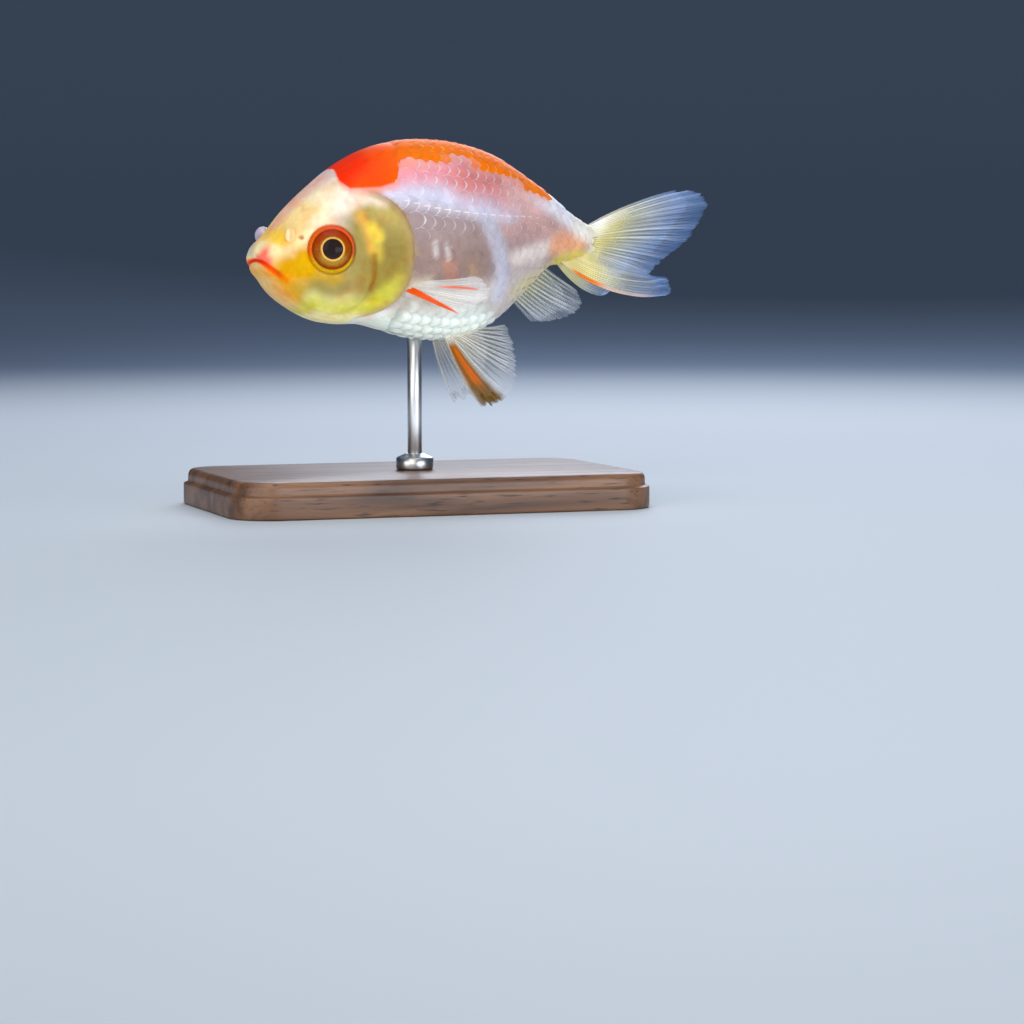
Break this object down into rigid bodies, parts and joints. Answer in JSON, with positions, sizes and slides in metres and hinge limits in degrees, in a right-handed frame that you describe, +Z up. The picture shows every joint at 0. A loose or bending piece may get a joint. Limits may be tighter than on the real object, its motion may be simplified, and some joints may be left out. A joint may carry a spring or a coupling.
{
  "type": "goldfish model",
  "caption": "Life-size still model of a young red and white ranchu goldfish swimming, held by a rod on a plain wooden display base.",
  "frame": {"origin": "centre of the stand base's underside, which stands on the floor", "axes": "+Z up; the fish swims towards -X, and its left side, the one shown, faces -Y; the head is turned a little to the left"},
  "size_m": [0.0732, 0.036, 0.0508],
  "materials": {
    "skin": "wet pearly skin and scales, orange-red along the back, white below",
    "gill_cover": "smooth wet olive-yellow with a pale rim",
    "eye": "clear cornea over an orange-red iris and a black pupil",
    "nasal_flap": "soft wet flesh, pale lilac to cream",
    "fin": "thin translucent membrane on fine rays, with orange streaks",
    "wood": "satin walnut with rounded edges",
    "steel": "drawn and polished"
  },
  "bodies": {
    "root": {"head": "skin", "lower_jaw": "skin", "trunk": "skin", "tail_stalk": "skin", "gill_cover_left": "gill_cover", "eye_left": "eye", "nasal_flap_left": "nasal_flap", "pectoral_fin_left": "fin", "pelvic_fin_left": "fin", "anal_fin_left": "fin", "tail_lobe_upper_left": "fin", "tail_lobe_lower_left": "fin", "gill_cover_right": "gill_cover", "eye_right": "eye", "nasal_flap_right": "nasal_flap", "pectoral_fin_right": "fin", "pelvic_fin_right": "fin", "anal_fin_right": "fin", "tail_lobe_upper_right": "fin", "tail_lobe_lower_right": "fin", "stand_base": "wood", "stand_rod": "steel", "stand_collar": "steel"}
  },
  "joints": []
}
